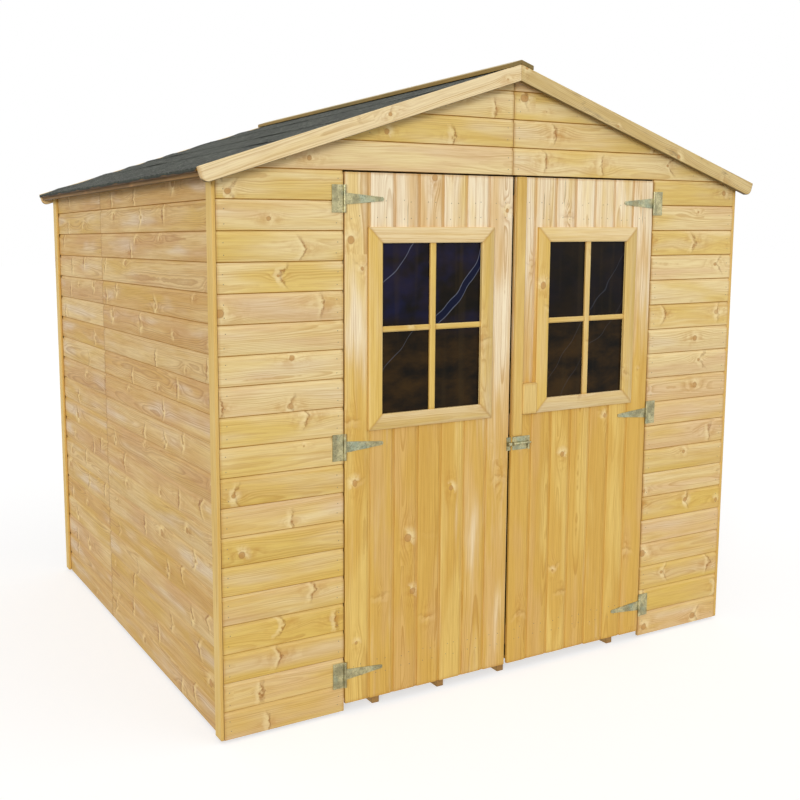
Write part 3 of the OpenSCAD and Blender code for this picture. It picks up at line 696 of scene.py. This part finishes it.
def build_timbers(mats):
    carve("bearers", ["floor_bearers"], mats["frame"], "shed")
    carve("rails", ["wall_rails"], mats["frame"], "shed")
    carve("studs", ["wall_studs"], mats["frame"], "shed")
    carve("rafters", ["gable_rafters"], mats["frame"], "shed")
    carve("ridge_timber", ["ridge_beam"], mats["frame"], "shed")
    for end in ("front", "back"):
        for side in ("left", "right"):
            carve(f"corner_{end}_{side}", [f"corner_strip_{end}_{side}"], mats["strip"], "shed", 0.003)
            timber = mats["barge"] if side == "left" else mats["worn_barge"]
            carve(f"barge_{end}_{side}", [f"bargeboard_{end}_{side}"], timber, "shed", 0.003)
    for side in ("left", "right"):
        carve(f"batten_{side}", [f"eaves_batten_{side}"], mats["batten"], "shed")
        carve(f"cap_{side}", [f"ridge_cap_{side}"], mats["cap"], "shed", 0.002)
        carve(f"{side}_ledges", [f"{side}_door_ledges"], mats["frame"], f"{side}_door", 0.002)
    carve("meeting_strip", ["cover_strip"], mats["strip"], "right_door", 0.002)
    carve("pull", ["pull_block"], mats["strip"], "right_door", 0.003)


# ---------------------------------------------------------------- floor and roof


def build_floor(mats):
    low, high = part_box("floor_boards")
    count = 18
    wide = (high.y - low.y) / count
    thick = high.z - low.z
    lumber = Lumber()
    for index in range(count):
        start = low.y + index * wide
        outline = [(0.0003, thick), (0.0003, 0.001), (0.0013, 0), (wide - 0.0013, 0), (wide - 0.0003, 0.001),
                   (wide - 0.0003, thick)]
        lumber.board(outline, lambda v, w: low.x, lambda v, w: high.x,
                     lambda u, v, w, start=start: (u, start + v, high.z - w))
    lumber.build("floor", mats["inside"], "shed", ["floor_boards"])


def build_deck(mats, side):
    """Roof boards from the ridge to the eaves, side by side."""
    sign = -1 if side == "left" else 1
    low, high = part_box(f"roof_boards_{side}")
    reach = high.x - low.x
    pitch = slope_angle()
    thick = (high.z - low.z - reach * math.tan(pitch)) * math.cos(pitch)
    count = 20
    wide = (high.y - low.y) / count
    lumber = Lumber()
    for index in range(count):
        start = low.y + index * wide
        outline = [(0.0002, 0), (0.0002, thick - 0.001), (0.0012, thick), (wide - 0.0012, thick),
                   (wide - 0.0002, thick - 0.001), (wide - 0.0002, 0)]

        def put(u, v, w, start=start):
            lift = (thick - w) / math.cos(pitch)
            return (sign * u, start + v, high.z - thick / math.cos(pitch) - u * math.tan(pitch) + lift)

        lumber.board(outline, lambda v, w: 0.0002, lambda v, w: reach, put)
    lumber.build(f"deck_{side}", mats["deck"], "shed", [f"roof_boards_{side}"])


def slope_angle():
    low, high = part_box("front_gable_right")
    return math.atan2(high.z - low.z, high.x - low.x)


def build_felt(mats, side):
    """Lapped strips of felt on each slope, the lowest turned down over the eaves."""
    sign = -1 if side == "left" else 1
    low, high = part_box(f"roof_felt_{side}")
    pitch = slope_angle()
    top = Vector((0, 0, high.z))
    down = Vector((sign * math.cos(pitch), 0, -math.sin(pitch)))
    out = Vector((sign * math.sin(pitch), 0, math.cos(pitch)))
    edge_x = (high.x if sign > 0 else low.x) - sign * 0.0015
    total = (high.x - low.x) / math.cos(pitch) - 0.0012
    work = bmesh.new()
    lap = work.verts.layers.float_vector.new("lap")
    shares = [chance.uniform(0.8, 1.2) for course in range(FELT_COURSES)]
    opening = {}
    stops = [0.0] + [total * sum(shares[:course + 1]) / sum(shares) for course in range(FELT_COURSES)]
    for course in range(FELT_COURSES):
        last = course == FELT_COURSES - 1
        rows = felt_course(stops[course], stops[course + 1] - stops[course], low.y, high.y, course == 0, last)
        before = None
        for y, mouth, row in rows:
            verts = []
            for run, level in row:
                vert = work.verts.new(top + Vector((0, y, 0)) + down * min(run, total) + out * level)
                vert[lap] = (run - stops[course], opening[y] if course else 0.0, 0.0)
                verts.append(vert)
            if last:
                corner = verts[-1].co.z
                for fall in (0.4, 1.0):
                    foot = low.z - 0.0032 + 0.0013 * math.sin(23 * y) + 0.0008 * math.sin(61 * y + 1.0)
                    hem = work.verts.new((edge_x, y, corner + (foot - corner) * fall))
                    hem[lap] = (0.1, 0.0, 1.0)
                    verts.append(hem)
            if before:
                for k in range(len(verts) - 1):
                    work.faces.new((before[k], before[k + 1], verts[k + 1], verts[k]))
            before = verts
        opening = {y: mouth for y, mouth, row in rows}
    bmesh.ops.recalc_face_normals(work, faces=work.faces)
    mesh = bpy.data.meshes.new(f"felt_{side}")
    work.to_mesh(mesh)
    work.free()
    piece = show(f"felt_{side}", mesh, mats["felt"], "shed", [f"roof_felt_{side}"])
    skin = piece.modifiers.new("ply", "SOLIDIFY")
    skin.thickness = FELT_PLY
    skin.offset = 0.0
    return piece


def felt_course(start, share, front, back, first, last):
    """One course as rows of (run down the slope, height under the felt's top face), from front to back."""
    tucked = 0.001 if first else -0.030
    runs = [tucked, 0.0015, 0.008] + [share * part / 10 for part in range(1, 11)]
    lying = -0.0029 + FELT_PLY / 2
    wave, second = chance.uniform(0, 9), chance.uniform(0, 9)
    steps = 150
    rows = []
    for step in range(steps + 1):
        y = front + (back - front) * step / steps
        swell = 0.5 + 0.3 * math.sin(5.3 * y + wave) + 0.2 * math.sin(13.1 * y + second)
        lift = 0.0 if last else 0.0060 * max(0.0, swell - 0.62) + chance.uniform(0.0, 0.0003)
        frayed = 0.004 * math.sin(4 * y + wave) + 0.002 * math.sin(37 * y) + chance.uniform(-0.0015, 0.0015)
        row = []
        for k, run in enumerate(runs):
            far = start + run
            verge = max(0.0, (y - back) / 0.30 + 1.0) ** 2 + 0.4 * max(0.0, (front - y) / 0.30 + 1.0) ** 2
            wrinkle = 0.5 + 0.5 * math.sin(42 * far + 2.2 * math.sin(9 * far) + 5 * y)
            settled = min(1.0, max(0.0, far - 0.07) / 0.05) * min(1.0, max(0.0, 1.20 - far) / 0.05)
            raised = max(0.0, run / share) ** 4 * (FELT_PLY + lift) + 0.0050 * verge * wrinkle * settled
            row.append((start + run + (frayed if k == len(runs) - 1 and not last else 0.0), lying + raised))
        rows.append((y, lift, row))
    return rows


# ---------------------------------------------------------------- doors and windows


def build_door(mats, side):
    """Upright shiplap boards, cut round the window."""
    node = f"{side}_door"
    low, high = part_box(node)
    glass_low, glass_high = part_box(f"{side}_window_glass")
    hole = (glass_low.x - FIT, glass_high.x + FIT, glass_low.z - FIT, glass_high.z + FIT)
    wide = (high.x - low.x) / DOOR_BOARDS
    thick = high.y - low.y
    lumber = Lumber()
    for index in range(DOOR_BOARDS):
        start = low.x + index * wide
        outline = shiplap(wide, thick, 0.0006, 0.0028)
        if index == DOOR_BOARDS - 1:
            outline = [(0.0012, thick), (0.0, thick - 0.0012), (0.0, 0.0012), (0.0004, 0.0004), (0.0012, 0.0),
                       (wide - 0.001, 0.0), (wide, 0.001), (wide, thick)]
        mood = board_mood()
        put = turned("door", start, low.y)
        drop = chance.uniform(0.0, 0.003)
        left, right = hole[0] - start, hole[1] - start
        whole = [(low.z + drop, high.z)]
        split = [(low.z + drop, hole[2]), (hole[3], high.z)]
        if right <= 0 or left >= wide:
            parts = [(outline, whole)]
        else:
            middle = outline
            parts = []
            if left > 0:
                parts.append((clipped(middle, left, True), whole))
                middle = clipped(middle, left, False)
            if right < wide:
                parts.append((clipped(middle, right, False), whole))
                middle = clipped(middle, right, True)
            parts.append((middle, split))
        for shape, spans in parts:
            for z0, z1 in spans:
                lumber.board(shape, lambda v, w, z=z0: z, lambda v, w, z=z1: z, put, mood)
    lumber.build(f"{side}_door_boards", mats["door"], node, [node])


def build_window(mats, side):
    """A mitred frame with eased edges, and glazing bars in front of the pane."""
    body = f"{side}_door"
    low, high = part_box(f"{side}_window_frame")
    glass_low, glass_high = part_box(f"{side}_window_glass")
    hole_x = (glass_low.x + GLASS_LAP, glass_high.x - GLASS_LAP)
    hole_z = (glass_low.z + GLASS_LAP, glass_high.z - GLASS_LAP)
    face = hole_x[0] - low.x
    thick = high.y - low.y
    outline = [(0.0, thick), (0.0, 0.0035), (0.0065, 0.0), (face - 0.003, 0.0), (face, 0.002), (face, thick)]
    lumber = Lumber()
    lumber.board(outline, lambda v, w: low.x + v, lambda v, w: high.x - v,
                 lambda u, v, w: (u, low.y + w, high.z - v), board_mood(0.0))
    lumber.board(outline, lambda v, w: low.x + v, lambda v, w: high.x - v,
                 lambda u, v, w: (u, low.y + w, low.z + v), board_mood(0.2))
    lumber.board(outline, lambda v, w: low.z + v + 0.0004, lambda v, w: high.z - v - 0.0004,
                 lambda u, v, w: (low.x + v, low.y + w, u), board_mood(1.0))
    lumber.board(outline, lambda v, w: low.z + v + 0.0004, lambda v, w: high.z - v - 0.0004,
                 lambda u, v, w: (high.x - v, low.y + w, u), board_mood(0.7))
    lumber.build(f"{side}_sash", mats["trim"], body, [f"{side}_window_frame"])

    bars = Lumber()
    back = high.y - FIT
    upright = bar_outline(0.023, 0.009)
    level = bar_outline(0.019, 0.008)
    middle_x = sum(hole_x) / 2
    middle_z = sum(hole_z) / 2
    bars.board(upright, lambda v, w: hole_z[0], lambda v, w: hole_z[1],
               lambda u, v, w: (middle_x - 0.0115 + v, back - 0.009 + w, u), board_mood(1.0))
    for near, far in ((hole_x[0], middle_x - 0.011), (middle_x + 0.011, hole_x[1])):
        bars.board(level, lambda v, w, x=near: x, lambda v, w, x=far: x,
                   lambda u, v, w: (u, back - 0.008 + w, middle_z - 0.0095 + v), board_mood(1.0))
    bars.build(f"{side}_bars", mats["trim"], body, [])


def bar_outline(wide, deep):
    """Cross-section of a glazing bar with its front edges splayed."""
    return [(0.0, deep), (0.0, 0.003), (0.004, 0.0), (wide - 0.004, 0.0), (wide, 0.003), (wide, deep)]


# ---------------------------------------------------------------- metal and nails


def dome(work, centre, outward, radius, height, sides=10):
    """A low round head that stands on a face."""
    outward = Vector(outward)
    first = outward.orthogonal().normalized()
    second = outward.cross(first)
    rings = []
    for share, lift in ((1.0, 0.0), (0.9, 0.6), (0.5, 1.0)):
        ring = []
        for k in range(sides):
            angle = 2 * math.pi * k / sides
            flat = first * math.cos(angle) + second * math.sin(angle)
            ring.append(work.verts.new(centre + flat * radius * share + outward * height * lift))
        rings.append(ring)
    for a, b in zip(rings, rings[1:]):
        for k in range(sides):
            work.faces.new((a[k], a[(k + 1) % sides], b[(k + 1) % sides], b[k]))
    work.faces.new(rings[-1])


def heads(name, spots, outward, radius, height, material, body):
    """Many nail or screw heads as one piece."""
    mesh = bpy.data.meshes.new(name)
    work = bmesh.new()
    for spot in spots:
        dome(work, Vector(spot), outward, radius, height)
    bmesh.ops.recalc_face_normals(work, faces=work.faces)
    work.to_mesh(mesh)
    work.free()
    return show(name, mesh, material, body, [])


def build_metal(mats):
    for node in ("hinge_plates", "left_hinge_straps", "right_hinge_straps", "bolt_plate", "pad_bolt", "bolt_keep"):
        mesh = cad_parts[node].data
        mesh.materials.clear()
        mesh.materials.append(mats["metal"])
    for side in ("left", "right"):
        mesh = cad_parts[f"{side}_window_glass"].data
        mesh.materials.clear()
        mesh.materials.append(mats["glass"])


def build_screws(mats):
    """Three screws in each hinge plate and strap, and screws round the bolt."""
    spots = []
    for points, _ in loose_parts(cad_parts["hinge_plates"].data):
        low, high = [Vector([pick(p[i] for p in points) for i in range(3)]) for pick in (min, max)]
        out = -1 if low.x < 0 else 1
        edge = high.x if out > 0 else low.x
        middle = (low.z + high.z) / 2
        reach = (high.z - low.z) / 2 - 0.010
        for inward, level in ((0.014, middle + reach), (0.022, middle), (0.014, middle - reach)):
            spots.append((edge - out * inward, high.y - HINGE_METAL, level))
    screws("plate_screws", spots, 0.0032, mats, "shed")
    for side, out in (("left", -1), ("right", 1)):
        spots = []
        for points, _ in loose_parts(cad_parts[f"{side}_hinge_straps"].data):
            low, high = [Vector([pick(p[i] for p in points) for i in range(3)]) for pick in (min, max)]
            knuckle, tip = (low.x, high.x) if out < 0 else (high.x, low.x)
            for share in (0.20, 0.55, 0.95):
                x = knuckle + (tip - knuckle) * share
                spots.append((x, high.y - HINGE_METAL, (low.z + high.z) / 2 + (0.005 if share < 0.9 else 0.0)))
        screws(f"{side}_strap_screws", spots, 0.0028, mats, f"{side}_door")
    for node, body, inset in (("bolt_plate", "right_door", 0.008), ("bolt_keep", "left_door", 0.005)):
        low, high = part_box(node)
        corners = [(x, high.y - HINGE_METAL, z) for x in (low.x + inset, high.x - inset)
                   for z in (low.z + 0.006, high.z - 0.006)]
        screws(f"{node}_screws", corners if node == "bolt_plate" else corners[:2], 0.0024, mats, body)


def screws(name, spots, radius, mats, body):
    """Domed screw heads, each with a darker disc in its middle as painted shade for the recess."""
    heads(name, spots, (0, -1, 0), radius, 0.0008, mats["metal"], body)
    tops = [(x, y - 0.0008, z) for x, y, z in spots]
    heads(f"{name}_recess", tops, (0, -1, 0), radius * 0.45, 0.00015, mats["nail"], body)


def door_nails(mats, side):
    """Two rows of paired nails above the window, where the top ledge is fixed."""
    low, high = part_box(f"{side}_door")
    wide = (high.x - low.x) / DOOR_BOARDS
    levels = (high.z - 0.091, high.z - 0.143, low.z + 0.09, low.z + 0.13)
    spots = []
    for index in range(DOOR_BOARDS):
        for level in levels:
            for share in (0.30, 0.62):
                x = low.x + wide * (index + share) + chance.uniform(-0.006, 0.006)
                spots.append((x, low.y - 0.0001, level + chance.uniform(-0.005, 0.005)))
    heads(f"{side}_door_nails", spots, (0, -1, 0), 0.0016, 0.0003, mats["nail"], f"{side}_door")


# ---------------------------------------------------------------- stage


def build_stage():
    scene = bpy.context.scene
    floor = bpy.data.meshes.new("floor_plane")
    size = 60
    floor.from_pydata([(-size, -size, 0), (size, -size, 0), (size, size, 0), (-size, size, 0)], [], [(0, 1, 2, 3)])
    piece = bpy.data.objects.new("studio_floor", floor)
    piece.location.z = -0.0004
    scene.collection.objects.link(piece)
    s = Shader("studio_floor")
    rays = s.node("LightPath").outputs
    seen = s.math("MAXIMUM", rays["Is Camera Ray"], s.math("MAXIMUM", rays["Is Glossy Ray"],
                                                           rays["Is Transmission Ray"]))
    matte = s.node("BsdfDiffuse")
    matte.inputs[0].default_value = (0.55, 0.55, 0.55, 1)
    glow = s.node("Emission")
    s.link(s.math("MULTIPLY", seen, 0.60), glow.inputs["Strength"])
    total = s.node("AddShader")
    s.tree.links.new(matte.outputs[0], total.inputs[0])
    s.tree.links.new(glow.outputs[0], total.inputs[1])
    s.tree.links.new(total.outputs[0], s.output.inputs[0])
    floor.materials.append(s.material)

    world = bpy.data.worlds.new("studio")
    scene.world = world
    world.use_nodes = True
    tree = world.node_tree
    tree.nodes.clear()
    output = tree.nodes.new("ShaderNodeOutputWorld")
    light = tree.nodes.new("ShaderNodeBackground")
    light.inputs["Strength"].default_value = 0.60
    white = tree.nodes.new("ShaderNodeBackground")
    white.inputs["Color"].default_value = (1, 1, 1, 1)
    white.inputs["Strength"].default_value = 1.0
    light.inputs["Color"].default_value = (1, 1, 1, 1)
    path = tree.nodes.new("ShaderNodeLightPath")
    first = tree.nodes.new("ShaderNodeMath")
    first.operation = "MAXIMUM"
    second = tree.nodes.new("ShaderNodeMath")
    second.operation = "MAXIMUM"
    tree.links.new(path.outputs["Is Camera Ray"], first.inputs[0])
    tree.links.new(path.outputs["Is Glossy Ray"], first.inputs[1])
    tree.links.new(first.outputs[0], second.inputs[0])
    tree.links.new(path.outputs["Is Transmission Ray"], second.inputs[1])
    mixed = tree.nodes.new("ShaderNodeMixShader")
    tree.links.new(second.outputs[0], mixed.inputs[0])
    tree.links.new(light.outputs[0], mixed.inputs[1])
    tree.links.new(white.outputs[0], mixed.inputs[2])
    tree.links.new(mixed.outputs[0], output.inputs[0])

    lamp("key", 1.65, (0.68, 0.66, -0.22), 20)
    lamp("fill", 0.45, (-0.6, 0.5, -0.40), 60)
    scene.view_settings.view_transform = "Standard"


def lamp(name, strength, towards, angle):
    """A broad, soft, distant lamp."""
    data = bpy.data.lights.new(name, "SUN")
    data.energy = strength
    data.angle = math.radians(angle)
    piece = bpy.data.objects.new(name, data)
    piece.rotation_euler = Vector(towards).to_track_quat("-Z", "Y").to_euler()
    bpy.context.scene.collection.objects.link(piece)


def build_camera():
    turn, tilt, roll = (math.radians(a) for a in (27.8897, 7.3335, -0.2772))
    ahead = Vector((math.sin(turn) * math.cos(tilt), math.cos(turn) * math.cos(tilt), -math.sin(tilt)))
    right = Vector((math.cos(turn), -math.sin(turn), 0))
    up = right.cross(ahead)
    across = right * math.cos(roll) + up * math.sin(roll)
    upward = up * math.cos(roll) - right * math.sin(roll)
    data = bpy.data.cameras.new("camera")
    data.sensor_width = 36
    data.lens = 45.17
    data.shift_x = 0.1061
    data.shift_y = -0.0401
    data.clip_end = 200
    piece = bpy.data.objects.new("camera", data)
    axes = Matrix((across, upward, -ahead)).transposed().to_4x4()
    piece.matrix_world = Matrix.Translation((-2.2700, -3.7912, 1.5987)) @ axes
    bpy.context.scene.collection.objects.link(piece)
    bpy.context.scene.camera = piece


def main():
    build_camera()
    build_stage()
    mats = make_materials()
    build_walls(mats)
    build_timbers(mats)
    build_floor(mats)
    build_metal(mats)
    build_screws(mats)
    for side in ("left", "right"):
        build_deck(mats, side)
        build_felt(mats, side)
        build_door(mats, side)
        build_window(mats, side)
        door_nails(mats, side)


main()
